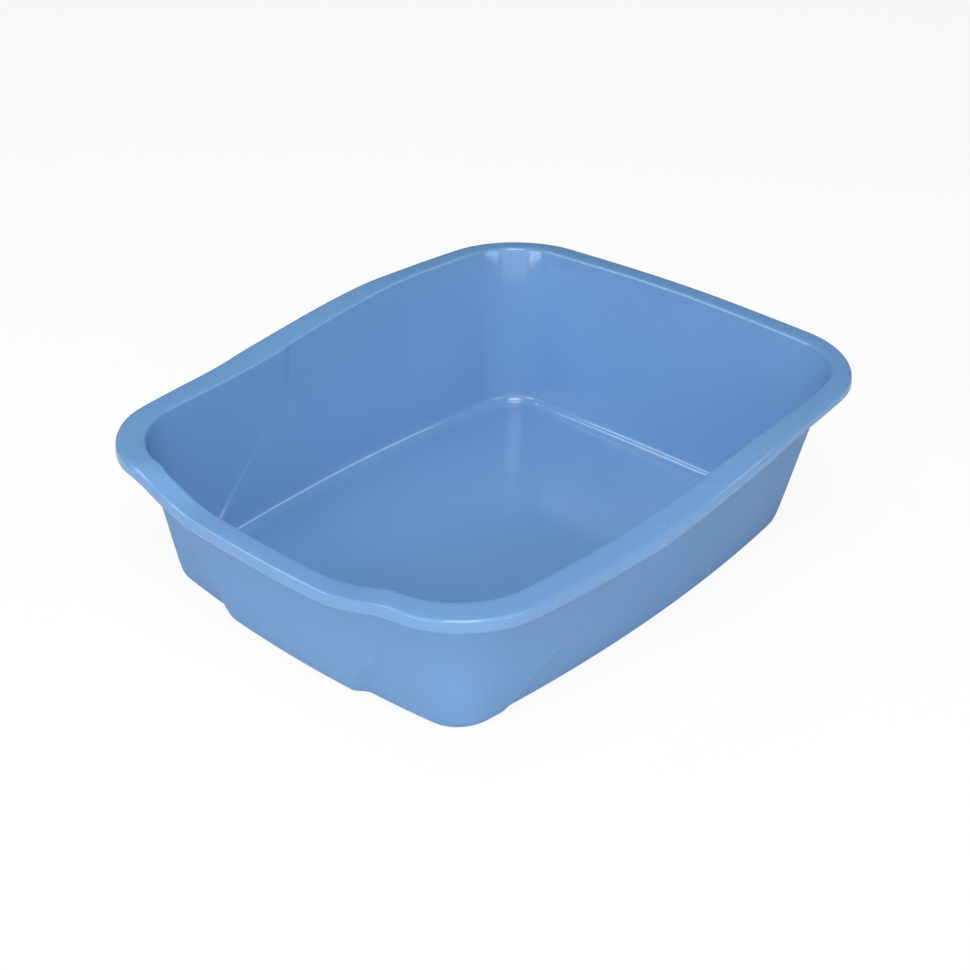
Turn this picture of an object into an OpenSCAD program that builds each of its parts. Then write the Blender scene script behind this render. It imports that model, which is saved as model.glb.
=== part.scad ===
// Wide open pan, moulded in one piece: a flat floor, four leaning walls and a
// flat flange whose edge turns down into a short skirt.  One short side is a
// low entry.  The rim climbs along the long sides to a higher back.
// Millimetres.  The origin is on the ground under the middle of the pan,
// +X points to the high back, -X to the entry, +Z up.
// Each half of the pan is the mirror image of the other across the XZ plane.

/* [Overall] */
// Length over the skirt, from the entry to the back
pan_l = 540; // [420:5:700]
// Width over the skirt, at the middle of the long sides
pan_w = 467.5; // [380:0.5:600]
// Height of the rim at the middle of the back
pan_h = 155; // [125:1:210]
// Thickness of the walls
wall = 2.4; // [1.8:0.1:4]
// Thickness of the floor
floor_t = 2.5; // [1.8:0.1:5]

/* [Rim line] */
// How far the rim climbs from the front half to the back half
rim_rise = 19; // [0:0.5:30]
// Length of long side over which it climbs
rise_l = 257; // [120:1:300]
// Middle of that climb, measured from the middle of the pan
rise_x = -7; // [-50:1:50]
// Depth of the entry below the front half of the rim
entry_dip = 15.6; // [0:0.2:35]
// Half the width of the level bottom of the entry
entry_half = 71; // [40:1:90]
// Width of the curve from the entry up to each corner
entry_ramp = 80; // [40:1:90]
// How much the rim crowns at the middle of the back
back_crown = 2.6; // [0:0.1:8]

/* [Plan of the rim] */
// Corner radius at the entry
corner_front_r = 60; // [40:1:90]
// Corner radius at the back
corner_back_r = 71; // [40:1:90]
// Outward bow of the entry side
bow_front = 13.3; // [0:0.1:20]
// Outward bow of each long side
bow_side = 22.6; // [0:0.2:34]
// Outward bow of the back side
bow_back = 6.5; // [0:0.1:14]
// How far the flange stands out along the climb
swell_d = 2.1; // [0:0.1:5]
// Front end of that swell, from the middle of the pan
swell_front = 88; // [40:1:130]
// Back end of that swell, from the middle of the pan
swell_back = 94; // [40:1:130]
// Length over which the swell fades in and out
swell_fade = 34; // [16:1:60]

/* [Flange and skirt] */
// Flange width at the entry, where the wall reaches full height
flange_front = 15.6; // [10:0.2:24]
// Flange width near the ends of the long sides
flange_side = 13.9; // [10:0.1:24]
// Extra flange width at the middle of the long sides
flange_swell = 9; // [0:0.1:14]
// Flange width at the back
flange_back = 19.3; // [10:0.1:26]
// Thickness of the flange
flange_t = 2.4; // [1.8:0.1:4]
// Height of the skirt round the entry half, from the top of the flange
skirt_h = 10.4; // [7:0.2:18]
// Height of the skirt round the back half
skirt_back_h = 8.7; // [7:0.1:18]
// How far the skirt flares out
skirt_flare = 0.8; // [0.2:0.1:4]
// Thickness of the skirt
skirt_t = 2; // [1.4:0.1:3]
// Radius of the outer edge of the flange
edge_r = 2.8; // [1:0.1:4]
// Radius of the lip where the flange turns down into the pan
lip_r = 2.2; // [0.8:0.1:4]

/* [Walls] */
// How far the entry wall leans in, from rim height to the ground
lean_front = 25; // [10:0.2:50]
// How far each long wall leans in
lean_side = 30; // [10:0.2:50]
// How far the back wall leans in
lean_back = 30.7; // [10:0.1:50]
// Plan radius of the front corners at the foot of the wall
foot_front_r = 23.6; // [14:0.1:50]
// Plan radius of the back corners at the foot of the wall
foot_back_r = 40.3; // [14:0.1:60]
// Bow of the foot of the entry wall
foot_bow_front = 12; // [0:0.2:20]
// Bow of the foot of each long wall
foot_bow_side = 16.2; // [0:0.1:24]
// Bow of the foot of the back wall
foot_bow_back = 1.7; // [0:0.1:10]
// How far the back corners are hollowed below the flange
corner_hollow = 2.4; // [0:0.1:5]
// Radius of the outer bottom edge
heel_r = 12.8; // [3:0.1:15]
// Radius where the floor turns up into the walls
floor_r = 8.6; // [4:0.1:14]

/* [Panels] */
// How far the entry panel stands out of the corner posts at its foot
entry_panel_d = 6.7; // [0:0.1:12]
// How far it still stands out at rim height
entry_panel_top = 1.8; // [0:0.1:6]
// Half the width of the entry panel where its edge starts to spread
entry_panel_half = 61.5; // [50:0.5:85]
// Half its width at the rim
entry_panel_half_top = 123; // [90:1:126]
// Height at which its edge starts to spread; below 0 the foot cuts the curve
entry_panel_low = -37.5; // [-60:0.5:20]
// Height above which its edge runs straight up
entry_panel_high = 114; // [80:1:125]
// Width of the slope at each edge of the entry panel, at its foot
entry_panel_edge = 9.2; // [5:0.2:20]
// Width of that slope at the rim
entry_panel_edge_top = 5; // [3:0.2:12]
// How deep the long panels are set in at their foot
side_panel_d = 2.7; // [0:0.1:5]
// How far the long panels stand out at rim height
side_panel_top = 2; // [0:0.1:5]
// Front end of the long panels where it starts to lean, from the middle
side_panel_front = 190.3; // [150:0.1:200]
// Front end of the long panels at the rim, from the middle of the pan
side_panel_front_top = 43.5; // [20:0.5:120]
// Height at which that end starts to lean; below 0 the foot cuts the curve
side_panel_low = -23.7; // [-40:0.1:20]
// Height above which that end runs straight up
side_panel_high = 126.5; // [90:0.5:132]
// Width of the slope at the front end of the long panels
side_panel_edge = 5.6; // [4:0.2:24]
// Back end of the long panels, from the middle of the pan
side_panel_back = 260; // [160:1:270]
// How fast the back end of the long panels leans forward
side_panel_tuck = 0.5; // [0:0.1:1.5]
// Width of the slope at the back end of the long panels
side_panel_fade = 21; // [8:1:30]

/* [Hidden] */
plastic = [0.42, 0.58, 0.80];

// Facets along each stretch of half the outline
panel_n = 10;
front_corner_n = 11;
post_n = 10;
side_n = 15;
back_corner_n = 12;
back_n = 9;

// The hollow of the back corners: where it is deepest, as a share of the
// height, and how far it fades along the side and along the back
hollow_peak = 0.7;
hollow_side = 0.25;
hollow_back = 0.4;

// Height up to which the walls would run if the rim were level
wall_h = pan_h - back_crown;
// Wall thickness measured level, for a wall that leans
wall_lvl = wall * sqrt(1 + pow(lean_side / wall_h, 2));

// ---- small helpers ----------------------------------------------------
function mix(a, b, t) = a + (b - a) * t;
function clamp(v) = max(0, min(1, v));
// Smooth step from 0 to 1 as v goes from 0 to 1
function ease(v) = let (c = clamp(v)) c * c * (3 - 2 * c);
// Place of a panel edge at height z: it swings from a to b between two heights
function swing(a, b, low, high, z) = mix(a, b, ease((z - low) / (high - low)));

// ---- outlines ---------------------------------------------------------
// An outline is [front x, back x, half width, front corner radius,
// back corner radius, front bow, side bow, back bow].
rim_line = [
    -(pan_l / 2 - skirt_flare - bow_front), pan_l / 2 - skirt_flare - bow_back,
    pan_w / 2 - skirt_flare - swell_d - bow_side,
    corner_front_r, corner_back_r, bow_front, bow_side, bow_back];

// Inner face of the wall, at rim height
wall_top = [
    rim_line[0] + flange_front, rim_line[1] - flange_back,
    rim_line[2] - flange_side,
    corner_front_r, corner_back_r - flange_back,
    bow_front, bow_side - flange_swell, bow_back];

// Inner face of the wall, at the ground
wall_foot = [
    wall_top[0] + lean_front, wall_top[1] - lean_back,
    wall_top[2] - lean_side,
    foot_front_r, foot_back_r, foot_bow_front, foot_bow_side, foot_bow_back];

// The same outline, moved outward by d all round
function grow(o, d) = [
    o[0] - d, o[1] + d, o[2] + d, max(1, o[3] + d), max(1, o[4] + d),
    o[5], o[6], o[7]];

// Point s (0 to 1) of stretch k of half an outline, before it is bowed:
// 0 entry side, 1 front corner, 2 long side, 3 back corner, 4 back side
function straight_point(o, k, s) =
    k == 0 ? [o[0], (o[2] - o[3]) * s]
    : k == 1 ? [o[0] + o[3] * (1 - cos(90 * s)),
                o[2] - o[3] * (1 - sin(90 * s))]
    : k == 2 ? [mix(o[0] + o[3], o[1] - o[4], s), o[2]]
    : k == 3 ? [o[1] - o[4] * (1 - sin(90 * s)),
                o[2] - o[4] * (1 - cos(90 * s))]
    : [o[1], (o[2] - o[4]) * (1 - s)];

// The sides are bowed by stretching the outline across its middle, so that
// the corners stay tangent to them
function bowed(o, p) =
    let (mid = (o[0] + o[1]) / 2, half = (o[1] - o[0]) / 2,
         x = p[0] - mid, bow_x = x < 0 ? o[5] : o[7])
    [mid + x * (1 + bow_x / half * (1 - pow(p[1] / o[2], 2))),
     p[1] * (1 + o[6] / o[2] * (1 - pow(x / half, 2)))];

// Every station is [stretch, v, side], side 1 for +Y and -1 for -Y.  On the
// entry side and the long side v runs from 0 to 3: the slope at the edge of the
// panel lies between 1 and 2, so that its two creases run along stations
half_stations = [
    for (i = [0 : panel_n - 1]) [0, i / panel_n],
    for (v = [0.96, 1, 1.5, 2, 2.1, 2.3, 2.55, 2.8]) [0, v],
    for (i = [0 : front_corner_n - 1]) [1, i / front_corner_n],
    for (i = [0 : post_n - 1]) [2, i / post_n],
    for (v = [0.97, 1, 1.5, 2, 2.02]) [2, v],
    for (i = [1 : side_n - 1]) [2, 2 + i / side_n],
    for (i = [0 : back_corner_n - 1]) [3, i / back_corner_n],
    for (i = [0 : back_n]) [4, i / back_n]];
half_n = len(half_stations);
stations = [
    for (i = [0 : half_n - 1]) [half_stations[i][0], half_stations[i][1], 1],
    for (i = [half_n - 2 : -1 : 1])
        [half_stations[i][0], half_stations[i][1], -1]];
count = len(stations);

// ---- panel edges and the stations that follow them -----------------------
function entry_edge(z) = swing(entry_panel_half, entry_panel_half_top,
                               entry_panel_low, entry_panel_high, z);
function entry_slope(z) =
    mix(entry_panel_edge, entry_panel_edge_top, clamp(z / wall_h));
function side_edge(z) = -swing(side_panel_front, side_panel_front_top,
                               side_panel_low, side_panel_high, z);

// Share of the stretch at which station v lies when the slope of width w round
// the place e takes v from 1 to 2; the stretch runs from a to b
function zoned(v, e, w, a, b) =
    let (s1 = max(0.01, min(0.94, (e - w / 2 - a) / (b - a))),
         s2 = max(s1 + 0.01, min(0.98, (e + w / 2 - a) / (b - a))))
    v < 1 ? s1 * v : v < 2 ? mix(s1, s2, v - 1) : mix(s2, 1, v - 2);

// Share of its stretch at which a station stands at height z
function share(st, z) =
    let (t = clamp(z / wall_h), f = wall_foot, r = wall_top)
    st[0] == 0 ? zoned(st[1], entry_edge(z), entry_slope(z),
                       0, mix(f[2] - f[3], r[2] - r[3], t))
    : st[0] == 2 ? zoned(st[1], side_edge(z), side_panel_edge,
                         mix(f[0] + f[3], r[0] + r[3], t),
                         mix(f[1] - f[4], r[1] - r[4], t))
    : st[1];

function outline_point(o, st, s) =
    let (p = bowed(o, straight_point(o, st[0], s))) [p[0], st[2] * p[1]];

// Point of the rim line, d further out, with the swell along the climb
function rim_point(st, d) =
    let (p = outline_point(grow(rim_line, d), st, share(st, wall_h)))
    [p[0], p[1] + st[2] * swell_d
        * ease((p[0] + swell_front) / swell_fade + 0.5)
        * ease((swell_back - p[0]) / swell_fade + 0.5)];

// 0 in the front half, 1 in the back half, easing along the climb
function climb(x) = ease((x - rise_x) / rise_l + 0.5);

// ---- height of the rim ------------------------------------------------
function rim_z(p) =
    wall_h
    - rim_rise * (1 - climb(p[0]))
    - entry_dip * (1 - ease((abs(p[1]) - entry_half) / entry_ramp))
        * ease(-p[0] / (pan_l / 4))
    + back_crown * (1 - ease(abs(p[1]) / (pan_w / 2.6)))
        * ease(p[0] / (pan_l / 4));

// ---- panels -----------------------------------------------------------
// Outward offset of the entry wall at half width y and height z
function entry_panel(y, z) =
    mix(entry_panel_d, entry_panel_top, clamp(z / wall_h))
    * (1 - clamp((abs(y) - entry_edge(z)) / entry_slope(z) + 0.5));

// Outward offset of a long wall at x and height z: the panel is set in at its
// foot and stands out at the rim
function side_panel(x, z) =
    mix(-side_panel_d, side_panel_top, clamp(z / wall_h))
    * clamp((x - side_edge(z)) / side_panel_edge + 0.5)
    * ease((side_panel_back - side_panel_tuck * z - x) / side_panel_fade + 0.5);

// Inward offset of the back corner at share s of a stretch and height z,
// deepest below the flange, as [x, y]
function hollow(k, s, z) =
    let (u = pow(clamp(z / wall_h), ln(0.5) / ln(hollow_peak)),
         d = 4 * corner_hollow * u * (1 - u))
    k == 2 ? [0, d * ease(1 + (s - 1) / hollow_side)]
    : k == 3 ? [d * sin(90 * s), d * cos(90 * s)]
    : k == 4 ? [d * ease(1 - s / hollow_back), 0]
    : [0, 0];

// ---- the wall ---------------------------------------------------------
// Point on the wall at height z, d outside its inner face
function wall_point(st, z, d) =
    let (s = share(st, z),
         foot = outline_point(grow(wall_foot, d), st, s),
         top = outline_point(grow(wall_top, d), st, s),
         p = mix(foot, top, z / wall_h),
         h = hollow(st[0], s, z),
         out_x = st[0] == 0 ? 1 : st[0] == 1 ? 1 - st[1] : 0,
         out_y = st[0] == 2 ? 1 : st[0] == 1 ? st[1] : st[0] == 3 ? 1 - st[1] : 0)
    [p[0] - out_x * entry_panel(p[1], z) - h[0],
     p[1] + st[2] * (out_y * side_panel(p[0], z) - h[1])];

function at(p, z) = [p[0], p[1], z];

// Points of one station, from the underside out, up, over the flange and
// down the inside to the floor
function profile(st) =
    let (rim = rim_point(st, 0),
         z = rim_z(rim),
         under = z - flange_t,
         skirt_foot = z - mix(skirt_h, skirt_back_h, climb(rim[0])),
         lip = wall_point(st, z, lip_r),
         neck_in = wall_point(st, under, wall_lvl + lip_r),
         neck_z = under - lip_r)
    concat(
        // heel: the outer bottom edge
        [for (a = [0 : 22.5 : 90])
            at(wall_point(st, heel_r * (1 - cos(a)),
                          wall_lvl - heel_r * (1 - sin(a))),
               heel_r * (1 - cos(a)))],
        // outer face of the wall
        [for (f = [0.16, 0.34, 0.52, 0.70, 0.86, 1])
            let (h = mix(heel_r, neck_z, f))
            at(wall_point(st, h, wall_lvl), h)],
        // under the flange
        [at(wall_point(st, under - lip_r * 0.3, wall_lvl + lip_r * 0.3),
            under - lip_r * 0.3),
         at(neck_in, under),
         at(rim_point(st, -skirt_t - 0.6), under)],
        // skirt: inner face, foot and outer face
        [at(rim_point(st, -skirt_t + 0.3), under - 0.9),
         at(rim_point(st, skirt_flare - skirt_t), skirt_foot + 0.3),
         at(rim_point(st, skirt_flare - skirt_t / 2), skirt_foot),
         at(rim_point(st, skirt_flare), skirt_foot + 0.5)],
        // rounded outer edge of the flange
        [for (a = [0 : 22.5 : 90])
            at(rim_point(st, -edge_r * (1 - cos(a))), z - edge_r * (1 - sin(a)))],
        // lip into the pan
        [for (a = [0 : 30 : 90])
            let (h = z - lip_r * (1 - cos(a)))
            at(wall_point(st, h, lip_r * (1 - sin(a))), h)],
        // inner face of the wall
        [for (f = [0.86, 0.70, 0.52, 0.34, 0.16])
            let (h = mix(floor_t + floor_r, z - lip_r, f))
            at(wall_point(st, h, 0), h)],
        // sweep into the floor
        [for (a = [0 : 22.5 : 90])
            let (h = floor_t + floor_r * (1 - sin(a)))
            at(wall_point(st, h, -floor_r * (1 - cos(a))), h)]);

// A closed skin over all the profiles, with a flat underside and floor
module pan_shell() {
    rows = [for (st = stations) profile(st)];
    rings = len(rows[0]);
    points = [for (row = rows) each row];
    function id(i, j) = (i % count) * rings + j;
    skin = [for (i = [0 : count - 1], j = [0 : rings - 2])
        each [[id(i, j), id(i + 1, j + 1), id(i, j + 1)],
              [id(i, j), id(i + 1, j), id(i + 1, j + 1)]]];
    underside = [for (i = [count - 1 : -1 : 0]) id(i, 0)];
    floor_face = [for (i = [0 : count - 1]) id(i, rings - 1)];
    color(plastic) polyhedron(points, concat(skin, [underside, floor_face]));
}

pan_shell();
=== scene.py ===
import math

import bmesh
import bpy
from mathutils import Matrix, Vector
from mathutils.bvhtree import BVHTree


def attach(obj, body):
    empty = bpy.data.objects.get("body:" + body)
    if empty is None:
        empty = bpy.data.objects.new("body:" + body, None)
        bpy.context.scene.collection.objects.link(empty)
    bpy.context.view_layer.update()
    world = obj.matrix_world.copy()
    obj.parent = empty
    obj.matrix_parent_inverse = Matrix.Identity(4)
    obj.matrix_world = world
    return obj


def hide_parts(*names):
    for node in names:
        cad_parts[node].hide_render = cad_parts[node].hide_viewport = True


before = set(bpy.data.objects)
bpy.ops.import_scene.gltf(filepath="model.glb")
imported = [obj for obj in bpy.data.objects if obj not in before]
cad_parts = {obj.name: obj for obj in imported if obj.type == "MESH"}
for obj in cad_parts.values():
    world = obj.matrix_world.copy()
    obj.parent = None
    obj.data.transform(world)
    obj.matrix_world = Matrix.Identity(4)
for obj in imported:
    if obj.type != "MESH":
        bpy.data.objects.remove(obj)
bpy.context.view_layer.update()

# %% [markdown]
# # A wide open pan, moulded in one piece of blue plastic
# This lesson dresses one measured solid: a low pan with a flat floor, four leaning
# walls and a flange that turns down into a skirt. Nothing on it moves, so the work is
# in the skin, the finish of the plastic and the light. Lengths are in metres, +Z is
# up, +X points to the high back of the pan and -X to its low entry.
# We start with what the frame gives us. The dressed pan may not grow out of it.

MM = 0.001
cad_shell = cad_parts["pan_shell"]

# %% [markdown]
# ## The net of the skin
# The solid arrives as triangles. On triangles a glossy surface breaks up into facets,
# so we want a net of four-sided faces that a subdivision surface can smooth. The solid
# was lofted: it is a stack of closed rings, and every vertex has two neighbours in the
# next ring. That lets us walk from ring to ring and name every vertex by its ring and
# its place, without measuring anything. Joining triangles by a tool's guess is the
# other way, and it leaves odd triangles at the corners.

# %% Merge the corners and open the two flat faces
SAME_POINT = 0.001 * MM
SAME_HEIGHT = 0.01 * MM
FLOOR_TOP = 2.5 * MM


def stands_at(vert, height):
    """Whether a vertex stands at that height."""
    return abs(vert.co.z - height) < SAME_HEIGHT


net = bmesh.new()
net.from_mesh(cad_shell.data)
bmesh.ops.remove_doubles(net, verts=net.verts, dist=SAME_POINT)
level = [f for f in net.faces
         if any(all(stands_at(v, height) for v in f.verts) for height in (0, FLOOR_TOP))]
bmesh.ops.delete(net, geom=level, context="FACES_ONLY")
print("vertices", len(net.verts), "faces left", len(net.faces))


# %% Walk round the edge of the floor
def open_loop(mesh, height):
    """The open edge at that height, as vertices in order."""
    edges = [e for e in mesh.edges
             if e.is_boundary and all(stands_at(v, height) for v in e.verts)]
    beside = {}
    for e in edges:
        for v in e.verts:
            beside.setdefault(v, []).append(e.other_vert(v))
    start = min(beside, key=lambda v: (v.co.x, abs(v.co.y)))
    loop, before = [start], None
    while True:
        here = loop[-1]
        ahead = [v for v in beside[here] if v is not before]
        step = max(ahead, key=lambda v: v.co.y) if before is None else ahead[0]
        if step is start:
            return loop
        before = here
        loop.append(step)


floor_loop = open_loop(net, FLOOR_TOP)
print("places round the pan:", len(floor_loop))


# %% Walk from ring to ring
def next_ring(ring, seen):
    """The ring beyond this one. Two neighbours in a ring share one vertex there."""
    around = [{e.other_vert(v) for e in v.link_edges} - seen for v in ring]
    n = len(ring)
    shared = [next(iter(around[i] & around[(i + 1) % n])) for i in range(n)]
    # The shared vertex stands beyond the first of the two or beyond the second:
    # the reading with the shorter way across is the right one.
    tries = [shared, shared[-1:] + shared[:-1]]
    return min(tries, key=lambda t: sum((a.co - b.co).length for a, b in zip(t, ring)))


rings, seen = [floor_loop], set(floor_loop)
while len(seen) < len(net.verts):
    ring = next_ring(rings[-1], seen)
    rings.append(ring)
    seen |= set(ring)
rings = [[v.co.copy() for v in ring] for ring in rings]
net.free()
PLACES = len(rings[0])
print("rings:", len(rings))
print("from z", round(rings[0][0].z / MM, 2), "to z", round(rings[-1][0].z / MM, 2))

# %% [markdown]
# ## Floor and underside
# The floor is one flat face. A face with so many corners would smooth badly, so we
# fill it with rings that shrink towards the middle. The plastic entered the mould at the
# middle of the floor, and left a small round nub there when it was trimmed: the last
# rings draw it. The underside is filled in the same way, with a shallow dimple that
# keeps the trimmed gate off the ground.


# %% Fill the floor and the underside
def inner_rings(edge, shares, middle):
    """Rings inside an edge ring: shares of its size, then (radius, height) rounds."""
    z = edge[0].z
    made = [[Vector((p.x * s, p.y * s, z)) for p in edge] for s in shares]
    for radius, height in middle:
        made.append([])
        for p in edge:
            d = Vector((p.x, p.y, 0)).normalized() * radius
            made[-1].append(Vector((d.x, d.y, z + height)))
    return made


FLOOR_SHARES = [0.985, 0.93, 0.78, 0.55, 0.3, 0.14]
GATE_NUB = [(12 * MM, 0), (6 * MM, 0), (2.9 * MM, 0), (2.4 * MM, 0.25 * MM),
            (1.5 * MM, 0.42 * MM), (0.5 * MM, 0.46 * MM)]
GATE_DIMPLE = [(20 * MM, 0), (14 * MM, 0), (12.5 * MM, 0.5 * MM), (6 * MM, 0.6 * MM),
               (1 * MM, 0.6 * MM)]
inside = inner_rings(rings[0], FLOOR_SHARES, GATE_NUB)
outside = inner_rings(rings[-1], FLOOR_SHARES, GATE_DIMPLE)
all_rings = inside[::-1] + rings + outside
print("rings with floor and underside:", len(all_rings))

# %% [markdown]
# ## The shell
# Now the rings become a mesh: one four-sided face between each pair of places on each
# pair of rings, and a small cap in the middle at both ends. A subdivision surface
# rounds what the facets left between the rings, most of all the lip, the rolled edge
# of the flange and the sweep into the floor, where the highlights run. Smooth shading
# alone would be quicker, but the outline of the rim would still show its corners. The
# smooth piece stands for the solid, which stays in the frame for weight and contact.


# %% Rings to faces
def add_object(name, data):
    """A new object in the scene, from a mesh, a lamp or a camera."""
    made = bpy.data.objects.new(name, data)
    bpy.context.scene.collection.objects.link(made)
    return made


points = [p for ring in all_rings for p in ring]
faces = []
for j in range(len(all_rings) - 1):
    near, far = j * PLACES, (j + 1) * PLACES
    for i in range(PLACES):
        k = (i + 1) % PLACES
        faces.append((near + i, near + k, far + k, far + i))
faces.append(tuple(reversed(range(PLACES))))
faces.append(tuple(range(len(points) - PLACES, len(points))))
shell_mesh = bpy.data.meshes.new("moulded_shell")
shell_mesh.from_pydata(points, [], faces)
outward = bmesh.new()
outward.from_mesh(shell_mesh)
bmesh.ops.recalc_face_normals(outward, faces=outward.faces)
outward.to_mesh(shell_mesh)
outward.free()
shell_mesh.shade_smooth()
print("faces", len(shell_mesh.polygons))

# %% Mark the outside
# Rings on the glossy side, as the solid has them: the sweep out of the floor, the
# wall, the lip, the edge of the flange, the skirt and the underside of the flange.
GLOSSY_RINGS = 5 + 5 + 4 + 5 + 4 + 3
first_outside = (len(inside) + GLOSSY_RINGS) * PLACES
outside_mark = shell_mesh.attributes.new("outside", "FLOAT", "POINT")
outside_mark.data.foreach_set("value", [float(v >= first_outside) for v in range(len(points))])
print("points outside:", len(points) - first_outside, "of", len(points))

# %% The smooth piece
shell = add_object("moulded_shell", shell_mesh)
smooth = shell.modifiers.new("smooth", "SUBSURF")
smooth.levels = smooth.render_levels = 1
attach(shell, "root")
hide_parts("pan_shell")
print("piece:", shell.name)

# %% [markdown]
# ## Marks of the ejector pins
# Round pins pushed the pan out of its mould, and each left a flat circle with a low rim
# on the flange. They are too small to cut into the big net, so each is a thin closed
# disc of its own. We drop its points onto the finished flange with a ray, so that a
# disc follows the slope that it sits on, and sink its lower side into the plastic.

# %% Where the pins stood
PIN_PLACES = [(x * MM, y * MM) for x, y in (
    (-175, 202.5), (-54, 219.5), (7, 220.5), (62, 221), (178, 211))]
PIN_PROFILE = [(4.5 * MM, -0.2 * MM), (4.4 * MM, 0.03 * MM), (3.9 * MM, 0.10 * MM),
               (3.4 * MM, 0.06 * MM), (3.0 * MM, 0.03 * MM), (1.2 * MM, 0.03 * MM)]
PIN_SIDES = 32
RAY_FROM = 0.2
bpy.context.view_layer.update()
flange = BVHTree.FromObject(shell, bpy.context.evaluated_depsgraph_get())


def on_flange(x, y, above):
    """The point over x, y that stands that far above the flange."""
    hit = flange.ray_cast(Vector((x, y, RAY_FROM)), Vector((0, 0, -1)))[0]
    return Vector((x, y, hit.z + above))


for x, y in PIN_PLACES:
    print("pin at x", round(x / MM, 1), "height", round(on_flange(x, y, 0).z / MM, 1))

# %% Draw the marks
pins = bmesh.new()
for x, y in PIN_PLACES + [(x, -y) for x, y in PIN_PLACES]:
    circles = []
    for radius, above in PIN_PROFILE:
        turn = [2 * math.pi * i / PIN_SIDES for i in range(PIN_SIDES)]
        circles.append([pins.verts.new(on_flange(
            x + radius * math.cos(t), y + radius * math.sin(t), above)) for t in turn])
    for low, high in zip(circles, circles[1:]):
        for i in range(PIN_SIDES):
            k = (i + 1) % PIN_SIDES
            pins.faces.new((low[i], low[k], high[k], high[i]))
    pins.faces.new(circles[-1])
    pins.faces.new(circles[0][::-1])
pins_mesh = bpy.data.meshes.new("pin_marks")
pins.to_mesh(pins_mesh)
pins.free()
pins_mesh.shade_smooth()
pin_marks = add_object("pin_marks", pins_mesh)
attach(pin_marks, "root")
print("pin marks:", 2 * len(PIN_PLACES))

# %% [markdown]
# ## Blue plastic
# The pan is polypropylene, coloured right through. The inside and the flange copy a
# polished mould: glossy, with clouds where the melt cooled at its own pace. The outside
# copies a mould that was left matt, so it has a fine grain and hardly mirrors the
# floor. Two materials could share the shell, but they would meet along a hard edge. One
# Principled shader does both: the outer wall and the underside carry the mark named
# outside, and it raises the roughness and the grain there.

# %% Colour
BLUE = (0.152, 0.314, 0.575, 1)
DEEP_BLUE = (0.146, 0.304, 0.563, 1)
PLASTIC_IOR = 1.49
FLOW_SCALE, FLOW_DETAIL = 7, 3
plastic = bpy.data.materials.new("blue_plastic_skin")
plastic.use_nodes = True
nodes, links = plastic.node_tree.nodes, plastic.node_tree.links
skin = nodes["Principled BSDF"]
skin.inputs["IOR"].default_value = PLASTIC_IOR
where = nodes.new("ShaderNodeTexCoord")


def noise(scale, detail):
    """Noise that lies still in the pan's own coordinates."""
    node = nodes.new("ShaderNodeTexNoise")
    node.inputs["Scale"].default_value = scale
    node.inputs["Detail"].default_value = detail
    links.new(where.outputs["Object"], node.inputs["Vector"])
    return node


flow = noise(FLOW_SCALE, FLOW_DETAIL)
tint = nodes.new("ShaderNodeMix")
tint.data_type = "RGBA"
tint.inputs["A"].default_value = BLUE
tint.inputs["B"].default_value = DEEP_BLUE
links.new(flow.outputs["Fac"], tint.inputs["Factor"])
links.new(tint.outputs["Result"], skin.inputs["Base Color"])
print("base colour:", BLUE[:3])

# %% Polish inside, matt outside
POLISH, MATT, CLOUD = 0.12, 0.5, 0.04
mark = nodes.new("ShaderNodeAttribute")
mark.attribute_name = "outside"


def spread(source, low, high):
    """A node that turns 0 to 1 into low to high."""
    node = nodes.new("ShaderNodeMapRange")
    node.inputs["To Min"].default_value = low
    node.inputs["To Max"].default_value = high
    links.new(source, node.inputs["Value"])
    return node.outputs["Result"]


rough = nodes.new("ShaderNodeMath")
rough.operation = "ADD"
links.new(spread(mark.outputs["Fac"], POLISH, POLISH + MATT), rough.inputs[0])
links.new(spread(flow.outputs["Fac"], 0, CLOUD), rough.inputs[1])
links.new(rough.outputs[0], skin.inputs["Roughness"])
print("roughness inside", POLISH, "and outside", POLISH + MATT)

# %% Grain
GRAIN_SCALE, GRAIN_DETAIL = 1100, 1
GRAIN_DEPTH = 0.02 * MM
GRAIN_INSIDE, GRAIN_OUTSIDE = 0.05, 0.5
grain = noise(GRAIN_SCALE, GRAIN_DETAIL)
bump = nodes.new("ShaderNodeBump")
bump.inputs["Distance"].default_value = GRAIN_DEPTH
links.new(spread(mark.outputs["Fac"], GRAIN_INSIDE, GRAIN_OUTSIDE), bump.inputs["Strength"])
links.new(grain.outputs["Fac"], bump.inputs["Height"])
links.new(bump.outputs["Normal"], skin.inputs["Normal"])
for mesh in (shell_mesh, pins_mesh):
    mesh.materials.append(plastic)
print("plastic:", plastic.name, "on", shell.name, "and", pin_marks.name)

# %% [markdown]
# ## Floor and background
# A white sheet carries the pan and takes its shadow. Seen by the camera the sheet is
# lifted towards white, so that the background is clean and the shadow stays soft. More
# light on the sheet would do the same, but it would wash out the blue as well.

# %% White sheet
SHEET_HALF = 6.0
sheet_mesh = bpy.data.meshes.new("white_sheet")
sheet_mesh.from_pydata(
    [(-SHEET_HALF, -SHEET_HALF, 0), (SHEET_HALF, -SHEET_HALF, 0),
     (SHEET_HALF, SHEET_HALF, 0), (-SHEET_HALF, SHEET_HALF, 0)], [], [(0, 1, 2, 3)])
sheet = add_object("white_sheet", sheet_mesh)
print("sheet:", 2 * SHEET_HALF, "m square")

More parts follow.
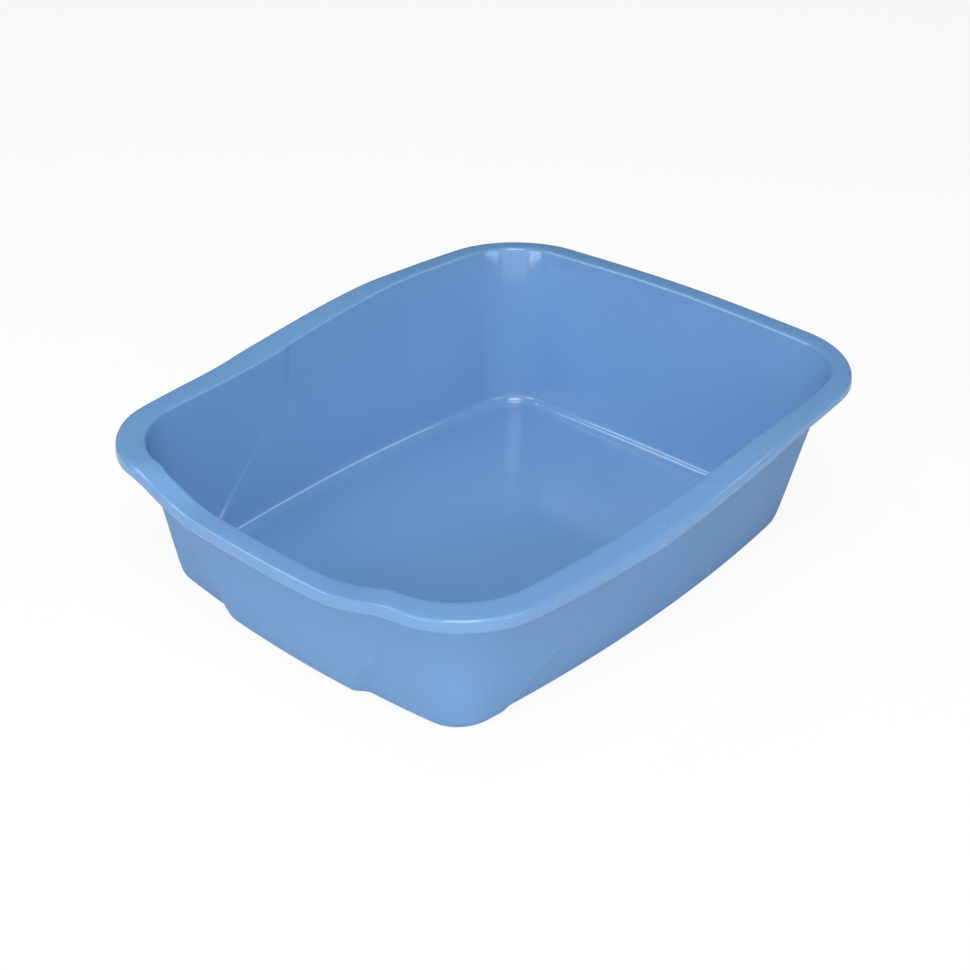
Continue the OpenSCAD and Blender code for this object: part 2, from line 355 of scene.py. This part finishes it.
# %% White paper
PAPER = (0.9, 0.9, 0.9, 1)
WHITE = 1.0
SHEET_LIFT = 0.92
paper = bpy.data.materials.new("white_paper")
paper.use_nodes = True
paper_nodes, paper_links = paper.node_tree.nodes, paper.node_tree.links
paper_nodes.clear()
paper_out = paper_nodes.new("ShaderNodeOutputMaterial")
matte = paper_nodes.new("ShaderNodeBsdfDiffuse")
matte.inputs["Color"].default_value = PAPER
glow = paper_nodes.new("ShaderNodeEmission")
glow.inputs["Strength"].default_value = WHITE
paper_ray = paper_nodes.new("ShaderNodeLightPath")
lift = paper_nodes.new("ShaderNodeMath")
lift.operation = "MULTIPLY"
lift.inputs[1].default_value = SHEET_LIFT
paper_mix = paper_nodes.new("ShaderNodeMixShader")
paper_links.new(paper_ray.outputs["Is Camera Ray"], lift.inputs[0])
paper_links.new(lift.outputs[0], paper_mix.inputs["Fac"])
paper_links.new(matte.outputs[0], paper_mix.inputs[1])
paper_links.new(glow.outputs[0], paper_mix.inputs[2])
paper_links.new(paper_mix.outputs[0], paper_out.inputs["Surface"])
sheet_mesh.materials.append(paper)
print("share of plain white that the camera sees:", SHEET_LIFT)

# %% [markdown]
# ## Light
# The picture comes from a studio: soft boxes round the pan, in a room that adds nearly
# nothing. A big one above the camera and a wide low one behind it carry the colour of
# the inside, one on each side lights an outer wall, and one overhead the flange. Small
# ones behind the pan draw the thin bright lines, because a rounded edge always finds a
# lamp somewhere: each is placed where the edge would mirror it towards the camera. An
# even white world would be simpler, but it shows no edges.

# %% World
ROOM_LIGHT = 0.03
room = bpy.data.worlds.new("dim_studio")
bpy.context.scene.world = room
room.use_nodes = True
room_nodes, room_links = room.node_tree.nodes, room.node_tree.links
room_nodes.clear()
room_out = room_nodes.new("ShaderNodeOutputWorld")
room_light = room_nodes.new("ShaderNodeBackground")
room_light.inputs["Strength"].default_value = ROOM_LIGHT
room_seen = room_nodes.new("ShaderNodeBackground")
room_seen.inputs["Strength"].default_value = WHITE
room_ray = room_nodes.new("ShaderNodeLightPath")
room_mix = room_nodes.new("ShaderNodeMixShader")
room_links.new(room_ray.outputs["Is Camera Ray"], room_mix.inputs["Fac"])
room_links.new(room_light.outputs[0], room_mix.inputs[1])
room_links.new(room_seen.outputs[0], room_mix.inputs[2])
room_links.new(room_mix.outputs[0], room_out.inputs["Surface"])
print("room light", ROOM_LIGHT)

# %% Soft boxes
AIM_AT = Vector((0, 0, 0.08))


def direction(azimuth, elevation):
    """The way from the pan to a place. Azimuth 0 lies at -Y and 90 at +X."""
    a, e = math.radians(azimuth), math.radians(elevation)
    return Vector((math.sin(a) * math.cos(e), -math.cos(a) * math.cos(e), math.sin(e)))


def soft_box(name, azimuth, elevation, distance, width, height, power):
    """A rectangular lamp that faces the pan."""
    lamp = bpy.data.lights.new(name, "AREA")
    lamp.shape = "RECTANGLE"
    lamp.size, lamp.size_y = width, height
    lamp.energy = power
    box = add_object(name, lamp)
    away = direction(azimuth, elevation)
    box.location = AIM_AT + away * distance
    box.rotation_mode = "QUATERNION"
    box.rotation_quaternion = away.to_track_quat("Z", "Y")


# name, azimuth, elevation, distance, width, height, watts
LAMPS = [
    ("over_camera", -47, 55, 2.0, 0.8, 0.8, 20),
    ("behind_camera", -47, 22, 2.4, 2.0, 1.0, 10),
    ("left_side", -88, 25, 1.9, 0.8, 0.7, 9.5),
    ("right_side", -4, 25, 1.9, 0.8, 0.7, 7.5),
    ("overhead", 0, 88, 1.8, 0.6, 0.6, 6.5),
    ("left_back", -134, 33, 1.9, 0.5, 0.5, 4.5),
    ("left_overhead", -156, 56, 1.9, 0.7, 0.3, 4),
    ("right_back", 48, 33, 1.9, 0.45, 0.4, 2.6),
]
for lamp in LAMPS:
    soft_box(*lamp)
print("lamps:", [lamp[0] for lamp in LAMPS])

# %% [markdown]
# ## Camera
# The camera stands where the picture was taken: in front of the entry and to its
# left, looking down by about a third of a right angle. Its place and its focal length
# were fitted together to the edges of the pan. Turning a camera by eye comes close, but
# a rim this wide shows every degree.

# %% Camera
AZIMUTH, ELEVATION = -47.557, 30.909
CAMERA_AT = Vector((-0.93381, -0.84674, 0.81231))
FOCAL_PX, FRAME_PX, SENSOR = 1714.9, 970, 36.0
NEAREST, FARTHEST = 0.05, 50
back = direction(AZIMUTH, ELEVATION)
right = direction(AZIMUTH + 90, 0)
up = back.cross(right)
lens = bpy.data.cameras.new("camera")
lens.sensor_width = SENSOR
lens.sensor_fit = "HORIZONTAL"
lens.lens = FOCAL_PX / FRAME_PX * SENSOR
lens.clip_start, lens.clip_end = NEAREST, FARTHEST
camera = add_object("camera", lens)
turned = Matrix((right, up, back)).transposed().to_4x4()
camera.matrix_world = Matrix.Translation(CAMERA_AT) @ turned
bpy.context.scene.camera = camera
print("lens mm:", round(lens.lens, 2))

# %% [markdown]
# ## Last look
# Colours go to the picture as they are.

# %% View
bpy.context.scene.view_settings.view_transform = "Standard"
bpy.context.view_layer.update()
